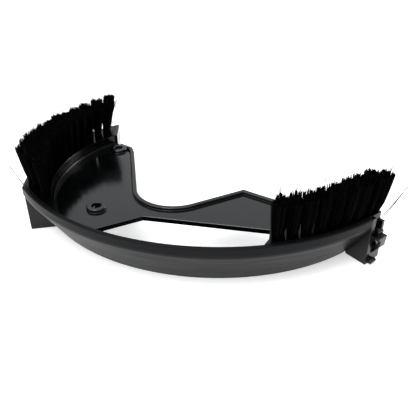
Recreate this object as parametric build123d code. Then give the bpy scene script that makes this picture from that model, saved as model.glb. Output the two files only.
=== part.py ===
"""Brush frame of a half-moon pool vacuum head, standing bristles up.

The plan is drawn about the centre of the front bumper's arc, with the bumper towards -Y. At the end every node
is moved so that the origin is the centre of the whole part's box, on the plane that the frame stands on.
"""
from build123d import *
import os
from math import asin, atan2, cos, degrees, hypot, radians, sin, sqrt

# Driving dimensions, mm. Angles are in degrees.
FRAME_HEIGHT = 36.0
PLATE_TOP = 29.0
PLATE_THICK = 3.5
WALL = 2.2
FIT_GAP = 0.15

# Front bumper: an upright lip over a skirt that slopes inwards. Its angles are counted from the -Y axis.
BUMPER_RADIUS = 167.0
BUMPER_LEFT = 47.0
BUMPER_RIGHT = 46.2
LIP_THICK = 3.0
LIP_FOOT = 29.0
SKIRT_FOOT_RADIUS = 149.0
SKIRT_THICK = 3.5
CREASE_ROUND = 6.0
LIP_ROUND = 0.9

# Web plate with its round notch, and the half-moon opening behind the bumper
NOTCH_CENTRE = (-16.8, -85.6)
NOTCH_RADIUS = 27.7
NOTCH_LEFT = (-64.6, -31.5)
NOTCH_RIGHT = (33.4, -81.0)
PLATE_BACK = [(-88.0, -12.0), (-77.5, -18.6), (-69.0, -23.0)]
PLATE_RIGHT = [(61.0, -93.5), (84.0, -102.5), (108.0, -100.5)]
OPENING = [(64.0, -128.3), (-29.4, -126.2), (-64.0, -153.0)]
EDGE_LIP_WIDTH = 3.4
EDGE_LIP_HEIGHT = 2.2
EDGE_ROUND = 0.7

# Ring bosses that take the head's screws
BOSS_POINTS = [(-63.7, -121.9), (-80.0, -26.8)]
BOSS_RADIUS = 6.8
BOSS_HEIGHT = 2.4
BOSS_BORE_RADIUS = 3.6
BOSS_ROUND = 0.7

# Left wing and its block, about their own centre. Angles are counted from +X.
LEFT_CENTRE = (-6.0, -73.0)
LEFT_BLOCK_INNER = 102.0
LEFT_BLOCK_OUTER = 120.3
LEFT_FRONT = 199.4
LEFT_PANEL_LENGTH = 19.5
LEFT_PANEL_ANGLE = 21.0
WING_END = (-94.2, 11.8)
RIM_WIDTH = 1.1
RIM_HEIGHT = 0.8

# Right end and its block, about the bumper's centre. Angles are counted from the -Y axis; the start is a plane in X.
RIGHT_BLOCK_INNER = 149.5
RIGHT_BLOCK_START = 57.3
RIGHT_START_WALL = 1.0
RIGHT_START_GUSSET = (3.0, 5.0)
RIGHT_BLOCK_END = 50.8
RIGHT_PANEL_END = 47.4
RIGHT_PANEL_FOOT = 150.0
END_WALL_TURN = 0.8
RIGHT_WALL_TOP = 22.0
LATCH_START = 47.4
LATCH_END = 50.2
LATCH_WIDTH = 2.0
LATCH_LEDGE_TOP = 22.0
LATCH_LEDGE_THICK = 2.2
LATCH_SHOULDER_TOP = 25.5
LATCH_SHOULDER_REACH = 5.0
LATCH_ROUND = 1.6
LATCH_REACH = 8.0
# The sloping bar from the panel's foot to the ledge's tip, and the snap hook, as reach past the wall and height
LATCH_BAR = [(8.0, 21.0), (7.5, 14.0), (0.0, 3.5), (0.0, 8.5), (5.6, 16.0), (5.8, 21.0)]
SNAP_HOOK = [(0.0, 0.4), (6.0, 1.0), (6.8, 3.6), (5.2, 4.6), (0.0, 3.2)]
SNAP_HOOK_WIDTH = 1.5

# Blocks, tufts, staples and screws
POCKET_FLOOR = 21.0
BLOCK_FOOT = 24.0
HOLE_RADIUS = 2.8
HOLE_DEPTH = 7.0
TUFT_GAP = 0.05
TUFT_TOP_RADIUS = 3.6
TUFT_HEIGHT_LEFT = 27.0
TUFT_HEIGHT_RIGHT = 25.0
TUFT_LIMIT = 160.4
END_LIFT = 3.0
END_LEAN = (3.0, 0.6)
LEFT_LEAN = (0.5, 0.9)
RIGHT_LEAN = (1.6, 0.8)
RIGHT_END_LEAN = 4.5
RIGHT_LEAN_START = 36.0
RIGHT_END_LIFT = 2.0
LEFT_ROWS = [105.3, 111.3, 117.3]
LEFT_PITCH = 4.75
LEFT_ROW_START = 147.0
RIGHT_ROWS = [160.4, 153.8]
RIGHT_PITCH = 3.43
RIGHT_ROW_START = 22.2
STAPLE_LENGTH = 6.8
STAPLE_THICK = 0.4
STAPLE_HEIGHT = 1.8
STAPLE_LIFT = 0.3
SCREW_RADIUS = 1.4
SCREW_LENGTH = 6.5
SCREW_HEAD_RADIUS = 2.7
SCREW_HEAD_HEIGHT = 2.0
CROSS_LENGTH = 2.8
CROSS_WIDTH = 0.7
CROSS_DEPTH = 1.1
LEFT_SCREW_ANGLES = [150.0, 172.0, 194.0]
LEFT_SCREW_RADIUS = 109.0
RIGHT_SCREW_ANGLES = [26.0, 44.0]
RIGHT_SCREW_RADIUS = 152.8

ORIGIN = (0.0, 0.0)


def polar(centre, radius, angle):
    """The plan point at a radius and an angle, counted from +X, about a centre."""
    return (centre[0] + radius * cos(radians(angle)), centre[1] + radius * sin(radians(angle)))


def front(radius, angle):
    """The plan point at an angle counted from the -Y axis about the bumper's centre, positive to the right."""
    return polar(ORIGIN, radius, angle - 90)


def prism(outline, low, high):
    """A solid of a closed plan outline between two heights."""
    return Pos(0, 0, low) * extrude(outline, high - low)


def polygon(points):
    """A face of straight edges through the points."""
    return make_face(Polyline(*points, close=True))


def ring_sector(centre, inner, outer, start, end):
    """A face between two arcs, from one angle to the other."""
    arcs = [CenterArc(centre, radius, start, end - start) for radius in (inner, outer)]
    return make_face([*arcs, Line(arcs[0] @ 0, arcs[1] @ 0), Line(arcs[0] @ 1, arcs[1] @ 1)])


def tangent_point(point, centre, radius, side):
    """Where a line from the point touches the circle, on its left (1) or right (-1) as seen from the point."""
    away = hypot(point[0] - centre[0], point[1] - centre[1])
    back = degrees(atan2(point[1] - centre[1], point[0] - centre[0]))
    return polar(centre, radius, back - side * (90 - degrees(asin(radius / away))))


def turned(profile, start, end):
    """A profile in radius and height, turned about the vertical axis between two angles from the -Y axis."""
    solid = revolve(Plane.XZ * profile, Axis.Z, end - start)
    return Rot(0, 0, start - 90) * solid


def bumper_inner(gap):
    """The profile of the space inside the bumper, smaller by a gap."""
    foot = SKIRT_FOOT_RADIUS - SKIRT_THICK - gap
    top = BUMPER_RADIUS - LIP_THICK - gap
    slope = (BUMPER_RADIUS - SKIRT_FOOT_RADIUS) / LIP_FOOT
    crease = (top - foot) / slope
    return polygon([(0, 0), (foot, 0), (top, crease), (top, FRAME_HEIGHT), (0, FRAME_HEIGHT)])


def bumper_outer():
    """The profile of everything inside the bumper's outer face."""
    return polygon(
        [(0, 0), (SKIRT_FOOT_RADIUS, 0), (BUMPER_RADIUS, LIP_FOOT), (BUMPER_RADIUS, FRAME_HEIGHT), (0, FRAME_HEIGHT)]
    )


def make_bumper():
    """The band across the front, with its crease and its lip rounded."""
    band = bumper_outer() - bumper_inner(0)
    crease = [v for v in band.vertices() if abs(v.Y - LIP_FOOT) < 0.01]
    band = fillet(crease, CREASE_ROUND)
    edge = [v for v in band.vertices() if abs(v.Y - FRAME_HEIGHT) < 0.01]
    band = fillet(edge, LIP_ROUND)
    return turned(band, -BUMPER_LEFT, BUMPER_RIGHT)


def notch_edges():
    """The back edge of the plate around the notch: straight, round, straight."""
    left = tangent_point(NOTCH_LEFT, NOTCH_CENTRE, NOTCH_RADIUS, -1)
    right = tangent_point(NOTCH_RIGHT, NOTCH_CENTRE, NOTCH_RADIUS, 1)
    bottom = (NOTCH_CENTRE[0], NOTCH_CENTRE[1] - NOTCH_RADIUS)
    return [Line(NOTCH_LEFT, left), ThreePointArc(left, bottom, right), Line(right, NOTCH_RIGHT)]


def web_outline():
    """The plate's plan, run on past the bumper and the wings, which cut it to size."""
    far, low = BUMPER_RADIUS, BUMPER_RADIUS + 20
    outside = [(far, -far), (OPENING[0][0], -low), *OPENING, (OPENING[-1][0] - 6, -low), (-far, -far),
               (-far, PLATE_BACK[0][1])]
    around = Polyline(NOTCH_RIGHT, *PLATE_RIGHT, *outside, *PLATE_BACK, NOTCH_LEFT)
    return make_face([*notch_edges(), *around.edges()])


def behind_web():
    """The space behind the plate's back edge."""
    back = NOTCH_RADIUS * 2
    far = Polyline(NOTCH_RIGHT, *PLATE_RIGHT, (PLATE_RIGHT[-1][0], back), (-back, back), *PLATE_BACK[1:], NOTCH_LEFT)
    return make_face([*notch_edges(), *far.edges()])


def past_wing_end():
    """The plan area beyond the left wing's end wall."""
    start = PLATE_BACK[0]
    along = (WING_END[0] - start[0], WING_END[1] - start[1])
    near = (start[0] - 2 * along[0], start[1] - 2 * along[1])
    far = (start[0] + 3 * along[0], start[1] + 3 * along[1])
    return polygon([near, far, (0.0, far[1]), (0.0, near[1])])


def left_ring(inner, outer):
    """A strip of the left wing between two radii, from its end wall to the bumper."""
    return ring_sector(LEFT_CENTRE, inner, outer, 120, 225) - past_wing_end()


def right_ring(inner, outer, start, end):
    """A strip of the right end between two radii and two angles from the -Y axis."""
    return ring_sector(ORIGIN, inner, outer, start - 90, end - 90)


def right_of(x):
    """The plan area to the right of a line along Y."""
    far = BUMPER_RADIUS + 20
    return polygon([(x, -far), (far, -far), (far, 0), (x, 0)])


def left_screw_points():
    """Where the screws of the left block stand."""
    return [polar(LEFT_CENTRE, LEFT_SCREW_RADIUS, angle) for angle in LEFT_SCREW_ANGLES]


def right_screw_points():
    """Where the screws of the right block stand."""
    return [front(RIGHT_SCREW_RADIUS, angle) for angle in RIGHT_SCREW_ANGLES]


def screw_holes(points):
    """The holes that screws make in a pocket's floor."""
    return [prism(Pos(*point) * Circle(SCREW_RADIUS), POCKET_FLOOR, BLOCK_FOOT) for point in points]


def left_wing(inside, bumper):
    """Pocket floor and riser, outer wall, end wall and front panel of the left wing."""
    outer = LEFT_BLOCK_OUTER + WALL
    floor = prism(left_ring(LEFT_BLOCK_INNER - WALL, LEFT_BLOCK_OUTER), POCKET_FLOOR, BLOCK_FOOT) & inside
    floor -= screw_holes(left_screw_points())
    riser = prism(left_ring(LEFT_BLOCK_INNER - WALL, LEFT_BLOCK_INNER), POCKET_FLOOR, PLATE_TOP) & inside
    rim_top = PLATE_TOP + RIM_HEIGHT
    rim = prism(left_ring(LEFT_BLOCK_INNER - RIM_WIDTH, LEFT_BLOCK_INNER), PLATE_TOP, rim_top) & inside
    back = degrees(atan2(WING_END[1] - LEFT_CENTRE[1], WING_END[0] - LEFT_CENTRE[0]))
    wall = prism(ring_sector(LEFT_CENTRE, LEFT_BLOCK_OUTER, outer, back, LEFT_FRONT), 0, FRAME_HEIGHT)
    start, end = Vector(*PLATE_BACK[0]), Vector(*WING_END)
    side = (end - start).normalized().rotate(Axis.Z, -90) * WALL
    end_wall = prism(polygon([start, end, end + side, start + side]), 0, FRAME_HEIGHT)
    corner = Vector(*polar(LEFT_CENTRE, outer, LEFT_FRONT))
    inward = Vector(*polar(ORIGIN, LEFT_PANEL_LENGTH, LEFT_PANEL_ANGLE))
    back_side = inward.normalized().rotate(Axis.Z, 90) * WALL
    face = polygon([corner, corner + inward, corner + inward + back_side, corner + back_side])
    panel = prism(face, 0, FRAME_HEIGHT) - turned(bumper_outer(), 0, 360)
    return floor + riser + rim + (wall - bumper) + end_wall + panel


def right_wing(inside):
    """Pocket floor, riser and walls of the right end, with its panel, ledge and snap hook."""
    pocket_end = RIGHT_BLOCK_END + END_WALL_TURN
    lip_inner = BUMPER_RADIUS - LIP_THICK
    under = inside & prism(right_ring(100, BUMPER_RADIUS, 0, 90), 0, FRAME_HEIGHT)
    start = RIGHT_BLOCK_START - RIGHT_START_WALL
    plan = right_ring(RIGHT_BLOCK_INNER - WALL, lip_inner, 0, pocket_end) & right_of(start)
    floor = prism(plan, POCKET_FLOOR, BLOCK_FOOT) - screw_holes(right_screw_points())
    strip = right_ring(RIGHT_BLOCK_INNER - WALL, RIGHT_BLOCK_INNER, 0, pocket_end) & right_of(start)
    riser = prism(strip, POCKET_FLOOR, PLATE_TOP)
    near = prism(plan - right_of(RIGHT_BLOCK_START), POCKET_FLOOR, FRAME_HEIGHT)
    along, back = RIGHT_START_GUSSET
    edge = -sqrt(lip_inner ** 2 - start ** 2)
    corner = polygon([(start - along, edge - along), (start, edge - along), (start, edge + back)])
    gusset = prism(corner, PLATE_TOP - 1, FRAME_HEIGHT)
    pocket = (floor + riser + near + gusset) & under
    outer_wall = prism(right_ring(lip_inner, lip_inner + WALL, RIGHT_PANEL_END, pocket_end), 0, RIGHT_WALL_TOP)
    end_wall = prism(right_ring(RIGHT_BLOCK_INNER - WALL, lip_inner + WALL, RIGHT_BLOCK_END, pocket_end), 0, PLATE_TOP)
    panel = prism(right_ring(RIGHT_PANEL_FOOT, BUMPER_RADIUS, BUMPER_RIGHT, RIGHT_PANEL_END), 0, FRAME_HEIGHT)
    room = prism(right_ring(RIGHT_BLOCK_INNER, lip_inner, 0, RIGHT_BLOCK_END), BLOCK_FOOT, FRAME_HEIGHT)
    return pocket + outer_wall + end_wall + (panel - room) + make_latch()


def make_latch():
    """Shoulder, ledge, sloping bar and snap hook outside the right end."""
    wall = BUMPER_RADIUS - LIP_THICK
    foot = LATCH_LEDGE_TOP - LATCH_LEDGE_THICK
    ledge = prism(right_ring(wall, wall + LATCH_REACH, LATCH_START, LATCH_END), foot, LATCH_LEDGE_TOP)
    start = LATCH_END - LATCH_WIDTH
    shoulder = prism(right_ring(wall, wall + LATCH_SHOULDER_REACH, start, LATCH_END), foot, LATCH_SHOULDER_TOP)
    shoulder = fillet(shoulder.edges().group_by(Axis.Z)[-1], LATCH_ROUND)
    bar, hook = (polygon([(wall + reach, height) for reach, height in points]) for points in (LATCH_BAR, SNAP_HOOK))
    return (ledge + shoulder + turned(bar, start, LATCH_END)
            + turned(hook, LATCH_START - 0.4, LATCH_START - 0.4 + SNAP_HOOK_WIDTH))


def make_web(inside):
    """The web plate with its notch lip and ring bosses, cut to meet the bumper and both wings."""
    web = web_outline()
    web -= left_ring(LEFT_BLOCK_INNER - WALL, LEFT_BLOCK_OUTER + 80)
    start = RIGHT_BLOCK_START - RIGHT_START_WALL
    web -= right_ring(RIGHT_BLOCK_INNER - WALL, BUMPER_RADIUS + 80, 0, 90) & right_of(start)
    plate = prism(web, PLATE_TOP - PLATE_THICK, PLATE_TOP)
    plate = fillet(opening_edges(plate), EDGE_ROUND)
    band = offset(behind_web(), EDGE_LIP_WIDTH) & web
    lip = prism(band, PLATE_TOP, PLATE_TOP + EDGE_LIP_HEIGHT)
    lip = fillet(lip.edges().group_by(Axis.Z)[-1], EDGE_ROUND)
    top = PLATE_TOP + BOSS_HEIGHT
    bosses = [prism(Pos(*point) * Circle(BOSS_RADIUS), PLATE_TOP - PLATE_THICK, top) for point in BOSS_POINTS]
    bores = [prism(Pos(*point) * Circle(BOSS_BORE_RADIUS), 0, top) for point in BOSS_POINTS]
    rounded = [fillet(boss.edges().group_by(Axis.Z)[-1], BOSS_ROUND) for boss in bosses]
    return (plate + lip + rounded - bores) & inside


def opening_edges(plate):
    """The plate's top edges along the front opening."""
    middle = OPENING[1]
    tops = plate.edges().group_by(Axis.Z)[-1]
    return [e for e in tops if min((e @ 0 - Vector(*middle, PLATE_TOP)).length,
                                   (e @ 1 - Vector(*middle, PLATE_TOP)).length) < 0.01]


def left_tuft_points(row):
    """Hole centres of one left row: half a pitch on from the row inside it, and as far as the bumper allows."""
    radius = LEFT_ROWS[row]
    angle = LEFT_ROW_START - row * LEFT_PITCH / 2
    points = []
    while hypot(*polar(LEFT_CENTRE, radius, angle)) < TUFT_LIMIT and angle < 225:
        points.append((polar(LEFT_CENTRE, radius, angle), angle))
        angle += LEFT_PITCH
    return points


def right_tuft_points(row):
    """Hole centres of one right row."""
    first = RIGHT_ROW_START + row * RIGHT_PITCH / 2
    angles = [first + n * RIGHT_PITCH for n in range(9 - row)]
    return [(front(RIGHT_ROWS[row], angle), angle - 90) for angle in angles]


def make_tuft(point, height, lean):
    """A bundle of bristles: straight in its hole, then opening out and leaning over."""
    foot = FRAME_HEIGHT - HOLE_DEPTH
    snug = HOLE_RADIUS - TUFT_GAP
    rings = [
        Pos(*point, foot) * Circle(snug),
        Pos(*point, FRAME_HEIGHT) * Circle(snug),
        Pos(point[0] + lean[0], point[1] + lean[1], FRAME_HEIGHT + height) * Circle(TUFT_TOP_RADIUS),
    ]
    return loft(rings, ruled=True)


def make_staple(point, angle):
    """The flat strip that a bundle is folded over, driven into the floor of its hole along the row."""
    low = FRAME_HEIGHT - HOLE_DEPTH + STAPLE_LIFT
    box = Box(STAPLE_LENGTH, STAPLE_THICK, STAPLE_HEIGHT, align=(Align.CENTER, Align.CENTER, Align.MIN))
    return Pos(*point, low) * Rot(0, 0, angle + 90) * box


def make_screw(point):
    """A self-tapping pan-head screw, driven upwards, with a cross recess."""
    head_foot = POCKET_FLOOR - SCREW_HEAD_HEIGHT
    head = prism(Circle(SCREW_HEAD_RADIUS), head_foot, POCKET_FLOOR)
    head = fillet(head.edges().group_by(Axis.Z)[0], 0.8)
    shank = prism(Circle(SCREW_RADIUS), POCKET_FLOOR, POCKET_FLOOR + SCREW_LENGTH)
    arm = Box(CROSS_LENGTH, CROSS_WIDTH, CROSS_DEPTH, align=(Align.CENTER, Align.CENTER, Align.MIN))
    cross = Pos(0, 0, head_foot) * (arm + Rot(0, 0, 90) * arm)
    return Pos(*point, 0) * (head + shank - cross)


def left_lean(row, angle):
    """Sideways reach of a left tuft's tip: outwards row by row, and back past the end wall at the wing's end."""
    outward = polar(ORIGIN, LEFT_LEAN[0] + LEFT_LEAN[1] * row, angle)
    near_end = max(0.0, 1 - (angle - LEFT_ROW_START + row * LEFT_PITCH / 2) / (2 * LEFT_PITCH))
    return (outward[0] + END_LEAN[0] * near_end, outward[1] + END_LEAN[1] * near_end)


def right_lean(row, angle):
    """Sideways reach of a right tuft's tip, growing towards the right end."""
    spread = max(0.0, (angle + 90 - RIGHT_LEAN_START) / (RIGHT_BLOCK_END - RIGHT_LEAN_START))
    along = polar(ORIGIN, RIGHT_END_LEAN * spread ** 1.5, angle + 90)
    outward = polar(ORIGIN, RIGHT_LEAN[0] - RIGHT_LEAN[1] * row, angle)
    return (along[0] + outward[0], along[1] + outward[1])


def left_height(angle):
    """Bristle length above the block: the tufts at the wing's end stand a little taller."""
    first = LEFT_ROW_START - LEFT_PITCH
    return TUFT_HEIGHT_LEFT + END_LIFT * max(0.0, 1 - (angle - first) / (2.5 * LEFT_PITCH))


def right_height(angle):
    """Bristle length above the block on the right, growing a little towards the end."""
    along = (angle + 90 - RIGHT_ROW_START) / (RIGHT_BLOCK_END - RIGHT_ROW_START)
    return TUFT_HEIGHT_RIGHT + RIGHT_END_LIFT * along


def make_side(rows, points_of, lean_of, height_of):
    """Tufts and staples of one side, row by row."""
    tufts, staples = [], []
    for row in range(len(rows)):
        places = points_of(row)
        staples.append([make_staple(point, angle) for point, angle in places])
        bundles = [make_tuft(point, height_of(angle), lean_of(row, angle)) for point, angle in places]
        tufts.append([bundle - staple for bundle, staple in zip(bundles, staples[-1])])
    return tufts, staples


def drill(block, points):
    """The block with its tuft holes."""
    foot = FRAME_HEIGHT - HOLE_DEPTH
    holes = [prism(Pos(*point) * Circle(HOLE_RADIUS), foot, FRAME_HEIGHT) for point, _ in points]
    return block - holes


def main():
    bumper = make_bumper()
    inside = turned(bumper_inner(0), 0, 360)
    room = turned(bumper_inner(FIT_GAP), 0, 360)

    left_plan = left_ring(LEFT_BLOCK_INNER + FIT_GAP, LEFT_BLOCK_OUTER - FIT_GAP)
    left_block = prism(left_plan, BLOCK_FOOT, FRAME_HEIGHT) & room
    end_gap = degrees(FIT_GAP / BUMPER_RADIUS)
    right_plan = right_ring(RIGHT_BLOCK_INNER + FIT_GAP, BUMPER_RADIUS, 0, RIGHT_BLOCK_END - end_gap)
    right_plan &= right_of(RIGHT_BLOCK_START + FIT_GAP)
    right_block = prism(right_plan, BLOCK_FOOT, FRAME_HEIGHT) & room

    left_tufts, left_staples = make_side(LEFT_ROWS, left_tuft_points, left_lean, left_height)
    right_tufts, right_staples = make_side(RIGHT_ROWS, right_tuft_points, right_lean, right_height)
    left_block = drill(left_block, [p for row in range(len(LEFT_ROWS)) for p in left_tuft_points(row)])
    right_block = drill(right_block, [p for row in range(len(RIGHT_ROWS)) for p in right_tuft_points(row)])
    left_block -= [staple for row in left_staples for staple in row]
    right_block -= [staple for row in right_staples for staple in row]

    left_screws = [make_screw(point) for point in left_screw_points()]
    right_screws = [make_screw(point) for point in right_screw_points()]
    left_block -= left_screws
    right_block -= right_screws

    nodes = {
        "web_plate": [make_web(inside)],
        "left_wing": [left_wing(inside, bumper)],
        "right_wing": [right_wing(inside)],
        "front_bumper": [bumper],
        "left_brush_block": [left_block],
        "right_brush_block": [right_block],
        "left_block_screws": left_screws,
        "right_block_screws": right_screws,
    }
    for side, tufts, staples in (("left", left_tufts, left_staples), ("right", right_tufts, right_staples)):
        for row, (bundles, strips) in enumerate(zip(tufts, staples), start=1):
            nodes[f"{side}_tufts_row_{row}"] = bundles
            nodes[f"{side}_staples_row_{row}"] = strips

    solids = {name: [s for piece in pieces for s in piece.solids()] for name, pieces in nodes.items()}
    box = Compound([s for pieces in solids.values() for s in pieces]).bounding_box()
    centre = box.center()
    to_origin = Pos(-centre.X, -centre.Y, -box.min.Z)
    os.makedirs("parts", exist_ok=True)
    for name, pieces in solids.items():
        export_step(to_origin * Compound(pieces), f"parts/{name}.step")
    print("bumper centre is at", -centre.X, -centre.Y, "and the box is", box.size)


main()
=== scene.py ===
"""Brush frame of a half-moon pool vacuum head: glossy black moulding, satin bumper, nylon bristles up."""
import math
import random

import bmesh
import bpy
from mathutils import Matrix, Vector


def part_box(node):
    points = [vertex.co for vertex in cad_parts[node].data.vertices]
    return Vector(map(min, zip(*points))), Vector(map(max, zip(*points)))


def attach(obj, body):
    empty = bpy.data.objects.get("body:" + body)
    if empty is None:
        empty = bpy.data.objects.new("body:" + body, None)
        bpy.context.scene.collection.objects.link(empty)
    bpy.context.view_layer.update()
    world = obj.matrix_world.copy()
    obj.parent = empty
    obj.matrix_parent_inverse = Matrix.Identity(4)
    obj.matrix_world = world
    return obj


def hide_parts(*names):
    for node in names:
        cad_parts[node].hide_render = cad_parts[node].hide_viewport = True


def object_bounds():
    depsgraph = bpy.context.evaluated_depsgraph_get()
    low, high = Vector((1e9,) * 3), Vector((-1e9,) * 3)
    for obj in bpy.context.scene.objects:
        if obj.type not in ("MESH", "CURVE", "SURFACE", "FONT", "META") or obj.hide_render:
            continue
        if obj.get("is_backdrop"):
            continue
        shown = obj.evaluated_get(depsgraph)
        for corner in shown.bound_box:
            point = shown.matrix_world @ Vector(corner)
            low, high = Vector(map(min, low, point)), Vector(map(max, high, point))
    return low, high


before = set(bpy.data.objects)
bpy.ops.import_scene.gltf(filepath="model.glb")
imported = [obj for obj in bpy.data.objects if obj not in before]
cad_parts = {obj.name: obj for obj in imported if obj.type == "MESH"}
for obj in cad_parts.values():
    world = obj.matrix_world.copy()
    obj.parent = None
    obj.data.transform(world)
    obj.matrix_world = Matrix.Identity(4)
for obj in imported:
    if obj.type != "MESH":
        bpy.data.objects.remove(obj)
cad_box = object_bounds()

MM = 0.001
SEED = 7

# The bumper's arc: its radius, and how far round from straight ahead its right end lies
BUMPER_RADIUS = 167 * MM
BUMPER_RIGHT_ANGLE = math.radians(46.2)

# Camera, from the centre of the bumper's arc: turned left by its heading, tilted down by its pitch
CAMERA_OFFSET = Vector((63.3, -399.6, 206.8)) * MM
CAMERA_HEADING = math.radians(10)
CAMERA_PITCH = math.radians(31)
SENSOR_WIDTH = 36.0
LENS = 43.27

# Stage
FLOOR_HALF = 12.0
FLOOR_DROP = 0.3 * MM
FLOOR_GLOW = 0.45
ROOM_COLOUR = (0.95, 0.97, 1.0, 1.0)
ROOM_STRENGTH = 0.75
SKY_STRENGTH = 1.6
SKY_ANGLE = math.radians(70)
SKY_TURN = (math.radians(12), math.radians(-8), 0)
# Name, place, width and power of each soft box, aimed at the part
SOFT_BOXES = [
    ("top_box", (-0.2, -0.65, 1.1), 0.45, 5),
    ("side_box", (1.35, 1.5, 0.55), 0.6, 22),
]

# How far the shading rounds an edge, and from how many samples
GLOSS_EDGE = 0.55 * MM
SATIN_EDGE = 0.4 * MM
EDGE_SAMPLES = 6

# Tuft solids of the CAD: verts closer than WELD are one, and an end ring lies within RING of the end
WELD = 0.02 * MM
RING = 0.1 * MM

# Bristles: three-sided tubes that leave their hole upright at FAN_START and fan out from there
FILAMENTS = 210
FILAMENT_SIDES = 3
FILAMENT_RADIUS = 0.2 * MM
FAN_STEPS = 4
FILAMENT_RINGS = FAN_STEPS + 2
FAN_START = 36 * MM

# Roots lie within ROOT_REACH of the tuft's middle, ROOT_LIFT above the solid's foot. Tips lie within the
# solid's tip radius times TIP_SPREAD, and each tuft's top is lifted, slanted and roughened a little
ROOT_REACH = 2.6 * MM
ROOT_LIFT = 1 * MM
TIP_SPREAD = 1.42
SPREAD_VARIES = (0.9, 1.1)
TUFT_JITTER = 0.9 * MM
TUFT_SLANT = 0.1
TIP_JITTER = 0.6 * MM

# Strays within a tuft stand proud by a share of STRAY_HEIGHT
STRAY_HEIGHT = 6 * MM
STRAY_SHARES = (0.2, 1.0)
STRAY_LEAN = 1.2 * MM

# The long strays: (foot, tip) in millimetres, with their sag as a share of their length
LONG_STRAY_RADIUS = 0.3 * MM
LONG_STRAY_SAG = 0.02
LONG_STRAYS = {
    "left_tufts_row_1": [
        ((-97.0, 79.0, 38.0), (-89.8, 82.3, 65.7)),
        ((-97.5, 81.0, 44.0), (-91.5, 82.2, 62.0)),
    ],
    "left_tufts_row_3": [
        ((-128.0, -10.0, 37.5), (-147.0, -3.4, 56.5)),
        ((-127.0, -26.0, 30.0), (-138.0, -25.0, 47.3)),
        ((-126.5, -26.5, 29.0), (-135.6, -26.0, 44.8)),
        ((-126.0, -18.0, 38.0), (-137.5, -13.0, 52.0)),
    ],
    "right_tufts_row_1": [
        ((122.0, -34.0, 31.5), (140.7, -17.3, 51.3)),
        ((123.2, -33.3, 30.5), (139.2, -18.6, 49.6)),
    ],
}

# Of each row: how late its bristles fan out, its share of strays, and how far its rearmost tuft leans to +X
ROWS = {
    "left_tufts_row_1": (1.5, 0.008, 2.8 * MM),
    "left_tufts_row_2": (1.5, 0.008, 2.8 * MM),
    "left_tufts_row_3": (0.8, 0.008, 2.8 * MM),
    "right_tufts_row_1": (0.6, 0.03, 0.0),
    "right_tufts_row_2": (0.6, 0.03, 0.0),
}
# The rearmost tuft's lean, and how much of it the next ones share
LEAN_SHARES = (1.0, 0.68, 0.38, 0.15)


# ---------------------------------------------------------------- shader nodes
def new_material(name):
    """A material, its node tree and its Principled shader."""
    material = bpy.data.materials.new(name)
    material.use_nodes = True
    tree = material.node_tree
    return material, tree, tree.nodes["Principled BSDF"]


def noise(tree, scale, detail=3.0, roughness=0.5):
    """A noise texture in object space, with its scale per metre: one number, or one for each axis."""
    vector = tree.nodes.new("ShaderNodeTexCoord").outputs["Object"]
    if isinstance(scale, tuple):
        stretch = tree.nodes.new("ShaderNodeMapping")
        stretch.inputs["Scale"].default_value = scale
        tree.links.new(vector, stretch.inputs["Vector"])
        vector = stretch.outputs["Vector"]
        scale = 1.0
    texture = tree.nodes.new("ShaderNodeTexNoise")
    texture.inputs["Scale"].default_value = scale
    texture.inputs["Detail"].default_value = detail
    texture.inputs["Roughness"].default_value = roughness
    tree.links.new(vector, texture.inputs["Vector"])
    return texture.outputs["Fac"]


def ramp(tree, value, stops):
    """A colour ramp over a value, given as (place, grey or colour) pairs."""
    node = tree.nodes.new("ShaderNodeValToRGB")
    elements = node.color_ramp.elements
    while len(elements) < len(stops):
        elements.new(0.5)
    for element, (place, colour) in zip(elements, stops):
        element.position = place
        colour = (colour,) * 3 if isinstance(colour, float) else colour
        element.color = (*colour, 1.0)
    tree.links.new(value, node.inputs["Fac"])
    return node.outputs["Color"]


def bump(tree, shader, edge, heights):
    """Rounds the shading of edges by a small radius and adds bumps: (height, strength, distance) each."""
    eased = tree.nodes.new("ShaderNodeBevel")
    eased.samples = EDGE_SAMPLES
    eased.inputs["Radius"].default_value = edge
    normal = eased.outputs["Normal"]
    for height, strength, distance in heights:
        node = tree.nodes.new("ShaderNodeBump")
        node.inputs["Strength"].default_value = strength
        node.inputs["Distance"].default_value = distance
        tree.links.new(height, node.inputs["Height"])
        tree.links.new(normal, node.inputs["Normal"])
        normal = node.outputs["Normal"]
    tree.links.new(normal, shader.inputs["Normal"])


# ---------------------------------------------------------------- materials
def gloss_plastic(name, dark, light, rough_low, rough_high, shine):
    """Polished black moulding: faint flow clouds, slow waviness, fine dust in the gloss."""
    material, tree, shader = new_material(name)
    clouds = noise(tree, 38.0, 4.0)
    dust = noise(tree, 900.0, 2.0, 0.7)
    waves = noise(tree, 22.0, 1.0)
    tree.links.new(ramp(tree, clouds, [(0.35, dark), (0.65, light)]), shader.inputs["Base Color"])
    dusty_clouds = tree.nodes.new("ShaderNodeMath")
    dusty_clouds.operation = "MULTIPLY_ADD"
    tree.links.new(dust, dusty_clouds.inputs[0])
    dusty_clouds.inputs[1].default_value = 0.35
    tree.links.new(clouds, dusty_clouds.inputs[2])
    rough = ramp(tree, dusty_clouds.outputs[0], [(0.45, rough_low), (0.9, rough_high)])
    tree.links.new(rough, shader.inputs["Roughness"])
    shader.inputs["IOR"].default_value = 1.5
    shader.inputs["Specular IOR Level"].default_value = shine
    bump(tree, shader, GLOSS_EDGE, [(waves, 0.10, 0.6 * MM), (dust, 0.03, 0.08 * MM)])
    return material


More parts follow.
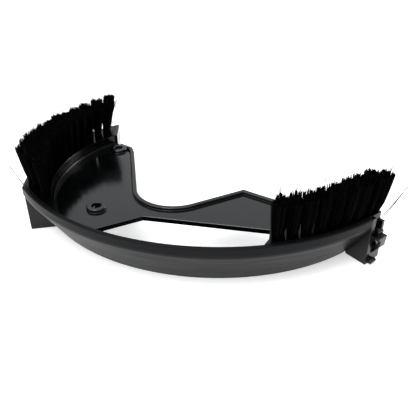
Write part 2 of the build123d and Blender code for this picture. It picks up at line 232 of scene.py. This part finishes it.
def satin_plastic():
    """The bumper's fine-grained satin, with faint scuffs that run along the band."""
    material, tree, shader = new_material("satin_bumper")
    grain = noise(tree, 2600.0, 2.0, 0.6)
    clouds = noise(tree, 30.0, 4.0)
    scuffs = noise(tree, (25.0, 25.0, 700.0), 4.0)
    colour = ramp(tree, clouds, [(0.3, (0.0022, 0.0025, 0.0032)), (0.7, (0.0040, 0.0042, 0.0048))])
    tree.links.new(colour, shader.inputs["Base Color"])
    rough = ramp(tree, scuffs, [(0.3, 0.34), (0.55, 0.42), (0.72, 0.5)])
    tree.links.new(rough, shader.inputs["Roughness"])
    shader.inputs["IOR"].default_value = 1.48
    shader.inputs["Specular IOR Level"].default_value = 0.11
    bump(tree, shader, SATIN_EDGE, [(grain, 0.12, 0.06 * MM), (clouds, 0.05, 0.5 * MM)])
    return material


def bristle_nylon():
    """Extruded nylon: near black, a little brown where the tips are cut, streaked along its length."""
    material, tree, shader = new_material("bristle_nylon")
    streaks = noise(tree, (1400.0, 1400.0, 60.0), 2.0)
    black = ramp(tree, streaks, [
        (0.35, (0.0002, 0.0002, 0.0003)),
        (0.6, (0.0005, 0.0005, 0.0006)),
        (0.8, (0.0016, 0.0014, 0.0013)),
    ])
    along = tree.nodes.new("ShaderNodeAttribute")
    along.attribute_name = "along"
    tip = ramp(tree, along.outputs["Fac"], [(0.975, 0.0), (1.0, 1.0)])
    browned = tree.nodes.new("ShaderNodeMix")
    browned.data_type = "RGBA"
    browned.inputs["B"].default_value = (0.0030, 0.0022, 0.0019, 1.0)
    tree.links.new(tip, browned.inputs["Factor"])
    tree.links.new(black, browned.inputs["A"])
    tree.links.new(browned.outputs["Result"], shader.inputs["Base Color"])
    rough = ramp(tree, streaks, [(0.3, 0.38), (0.7, 0.6)])
    tree.links.new(rough, shader.inputs["Roughness"])
    shader.inputs["IOR"].default_value = 1.45
    shader.inputs["Specular IOR Level"].default_value = 0.02
    return material


def metal(name, colour, rough):
    """Plain drawn metal for the hidden staples and screws."""
    material, tree, shader = new_material(name)
    grain = noise(tree, 1500.0, 3.0)
    shade = tuple(channel * 0.8 for channel in colour)
    tree.links.new(ramp(tree, grain, [(0.3, shade), (0.7, colour)]), shader.inputs["Base Color"])
    tree.links.new(ramp(tree, grain, [(0.3, rough), (0.7, rough + 0.15)]), shader.inputs["Roughness"])
    shader.inputs["Metallic"].default_value = 1.0
    return material


def cad_materials():
    """The material of each CAD node that stays, by a word in the node's name."""
    return {
        "web_plate": gloss_plastic(
            "gloss_plate", (0.0006, 0.0009, 0.0010), (0.0012, 0.0018, 0.0018), 0.09, 0.18, 0.62),
        "wing": gloss_plastic(
            "gloss_wing", (0.0009, 0.0011, 0.0012), (0.0018, 0.0021, 0.0022), 0.16, 0.28, 0.3),
        "brush_block": gloss_plastic(
            "gloss_block", (0.0006, 0.0007, 0.0008), (0.0012, 0.0013, 0.0014), 0.10, 0.2, 0.16),
        "bumper": satin_plastic(),
        "screws": metal("screw_steel", (0.6, 0.6, 0.61), 0.25),
        "staples": metal("staple_wire", (0.55, 0.55, 0.56), 0.3),
    }


def paint_cad():
    """Gives every CAD node that stays its material."""
    materials = cad_materials()
    for name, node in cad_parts.items():
        for word, material in materials.items():
            if word in name:
                node.data.materials.clear()
                node.data.materials.append(material)


# ---------------------------------------------------------------- bristles
def loose_parts(mesh):
    """The verts of each separate solid in a mesh."""
    left = set(mesh.verts)
    while left:
        part, edge = set(), [left.pop()]
        while edge:
            vert = edge.pop()
            part.add(vert)
            near = {link.other_vert(vert) for link in vert.link_edges} & left
            left -= near
            edge.extend(near)
        yield part


def box_middle(points):
    """The middle of the points' box."""
    return (Vector(map(min, *points)) + Vector(map(max, *points))) / 2


def tuft_lines(node):
    """(foot, tip, tip radius) of each tuft solid, by its lowest and highest rings, from the front."""
    mesh = bmesh.new()
    mesh.from_mesh(node.data)
    bmesh.ops.remove_doubles(mesh, verts=mesh.verts, dist=WELD)
    lines = []
    for tuft in loose_parts(mesh):
        low = min(vert.co.z for vert in tuft)
        high = max(vert.co.z for vert in tuft)
        foot = box_middle([vert.co for vert in tuft if vert.co.z < low + RING])
        tips = [vert.co for vert in tuft if vert.co.z > high - RING]
        tip = box_middle(tips)
        lines.append((foot, tip, max((point - tip).length for point in tips)))
    mesh.free()
    return sorted(lines, key=lambda line: (round(line[0].y, 4), round(line[0].x, 4)))


def add_filament(verts, faces, points, radius):
    """One bristle: a tube through the points, cut off square at its tip."""
    start = len(verts)
    turn = random.uniform(0, math.tau)
    for point in points:
        for side in range(FILAMENT_SIDES):
            angle = turn + side * math.tau / FILAMENT_SIDES
            verts.append((point.x + radius * math.cos(angle), point.y + radius * math.sin(angle), point.z))
    for ring in range(len(points) - 1):
        low = start + ring * FILAMENT_SIDES
        high = low + FILAMENT_SIDES
        for side in range(FILAMENT_SIDES):
            after = (side + 1) % FILAMENT_SIDES
            faces.append((low + side, low + after, high + after, high + side))
    faces.append(tuple(reversed(range(start, start + FILAMENT_SIDES))))
    faces.append(tuple(range(len(verts) - FILAMENT_SIDES, len(verts))))


def bristle_points(root, top, bow):
    """A line that leaves its hole upright and fans out: early for a low bow, late for a high one."""
    points = [root]
    for step in range(FAN_STEPS + 1):
        share = step / FAN_STEPS
        out = share ** bow
        height = FAN_START + (top.z - FAN_START) * share
        points.append(Vector((root.x + (top.x - root.x) * out, root.y + (top.y - root.y) * out, height)))
    return points


def long_stray_points(foot, tip):
    """A long single filament that sags a little between its foot and its tip."""
    foot, tip = Vector(foot) * MM, Vector(tip) * MM
    sag = Vector((0, 0, -LONG_STRAY_SAG * (tip - foot).length))
    shares = [ring / (FILAMENT_RINGS - 1) for ring in range(FILAMENT_RINGS)]
    return [foot.lerp(tip, share) + sag * share * (1 - share) * 4 for share in shares]


def add_tuft(verts, faces, line, bow, stray_share):
    """One tuft: filaments that fill the hole, spread to the solid's tip, and end unevenly."""
    foot, tip, reach = line
    lift = random.uniform(-TUFT_JITTER, TUFT_JITTER)
    slant = random.uniform(-TUFT_SLANT, TUFT_SLANT)
    for _ in range(FILAMENTS):
        out = math.sqrt(random.random())
        turn = random.uniform(0, math.tau)
        outward = Vector((math.cos(turn), math.sin(turn), 0))
        root = foot + outward * out * ROOT_REACH + Vector((0, 0, ROOT_LIFT))
        spread = reach * TIP_SPREAD * out * random.uniform(*SPREAD_VARIES)
        rise = lift + slant * outward.x * spread + random.gauss(0, TIP_JITTER)
        top = tip + outward * spread + Vector((0, 0, rise))
        if random.random() < stray_share:
            top.z += random.uniform(*STRAY_SHARES) * STRAY_HEIGHT
            top.x += random.gauss(0, STRAY_LEAN)
        add_filament(verts, faces, bristle_points(root, top, bow), FILAMENT_RADIUS)


def make_row(row, material, bow, stray_share, rear_lean):
    """All bristles of one CAD row of tufts, as one piece."""
    verts, faces = [], []
    lines = tuft_lines(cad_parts[row])
    for line, share in zip(reversed(lines), LEAN_SHARES):
        line[1].x += share * rear_lean
    for line in lines:
        add_tuft(verts, faces, line, bow, stray_share)
    for foot, tip in LONG_STRAYS.get(row, []):
        add_filament(verts, faces, long_stray_points(foot, tip), LONG_STRAY_RADIUS)
    mesh = bpy.data.meshes.new(row + "_bristles")
    mesh.from_pydata(verts, [], faces)
    mesh.materials.append(material)
    rings = [place // FILAMENT_SIDES % FILAMENT_RINGS for place in range(len(verts))]
    along = mesh.attributes.new("along", "FLOAT", "POINT")
    along.data.foreach_set("value", [ring / (FILAMENT_RINGS - 1) for ring in rings])
    piece = bpy.data.objects.new(row + "_bristles", mesh)
    bpy.context.scene.collection.objects.link(piece)
    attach(piece, "root")
    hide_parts(row)


def make_bristles():
    """Every row of bristles, in one nylon."""
    nylon = bristle_nylon()
    for row, settings in ROWS.items():
        make_row(row, nylon, *settings)


# ---------------------------------------------------------------- stage
def make_floor():
    """A wide pale floor just under the part."""
    material, tree, shader = new_material("floor")
    tree.links.new(ramp(tree, noise(tree, 3.0), [(0.3, 0.90), (0.7, 0.93)]), shader.inputs["Base Color"])
    shader.inputs["Roughness"].default_value = 0.9
    shader.inputs["Specular IOR Level"].default_value = 0.1
    shader.inputs["Emission Color"].default_value = (1.0, 1.0, 1.0, 1.0)
    shader.inputs["Emission Strength"].default_value = FLOOR_GLOW
    mesh = bpy.data.meshes.new("floor")
    corners = [(-1, -1), (1, -1), (1, 1), (-1, 1)]
    mesh.from_pydata([(x * FLOOR_HALF, y * FLOOR_HALF, 0) for x, y in corners], [], [(0, 1, 2, 3)])
    mesh.materials.append(material)
    floor = bpy.data.objects.new("floor", mesh)
    floor.location.z = -FLOOR_DROP
    bpy.context.scene.collection.objects.link(floor)
    floor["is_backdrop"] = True


def add_light(name, kind, strength):
    """A light of the given kind and strength: the lamp that holds it and its settings."""
    light = bpy.data.lights.new(name, kind)
    light.energy = strength
    lamp = bpy.data.objects.new(name, light)
    bpy.context.scene.collection.objects.link(lamp)
    return lamp, light


def light_stage():
    """A white room, a broad sun from above for the floor, and soft boxes for the plastic's highlights."""
    world = bpy.data.worlds.new("studio")
    world.use_nodes = True
    world.node_tree.nodes["Background"].inputs["Color"].default_value = ROOM_COLOUR
    world.node_tree.nodes["Background"].inputs["Strength"].default_value = ROOM_STRENGTH
    bpy.context.scene.world = world
    lamp, light = add_light("sky", "SUN", SKY_STRENGTH)
    lamp.rotation_euler = SKY_TURN
    light.angle = SKY_ANGLE
    for name, place, width, power in SOFT_BOXES:
        lamp, light = add_light(name, "AREA", power)
        lamp.location = place
        lamp.rotation_euler = (-Vector(place)).to_track_quat("-Z", "Y").to_euler()
        light.size = width


def bumper_centre():
    """The centre of the bumper's arc on the floor plane, from the bumper's box."""
    low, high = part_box("front_bumper")
    reach = BUMPER_RADIUS * math.sin(BUMPER_RIGHT_ANGLE)
    return Vector((high.x - reach, low.y + BUMPER_RADIUS, 0.0))


def make_camera():
    """A camera in front of the bumper that looks down on the part."""
    optics = bpy.data.cameras.new("camera")
    optics.sensor_width = SENSOR_WIDTH
    optics.lens = LENS
    camera = bpy.data.objects.new("camera", optics)
    camera.location = bumper_centre() + CAMERA_OFFSET
    camera.rotation_euler = (math.radians(90) - CAMERA_PITCH, 0, CAMERA_HEADING)
    bpy.context.scene.collection.objects.link(camera)
    bpy.context.scene.camera = camera


random.seed(SEED)
bpy.context.scene.view_settings.view_transform = "Standard"
paint_cad()
make_bristles()
make_floor()
light_stage()
make_camera()

[[list(corner) for corner in pair] for pair in (cad_box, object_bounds())]
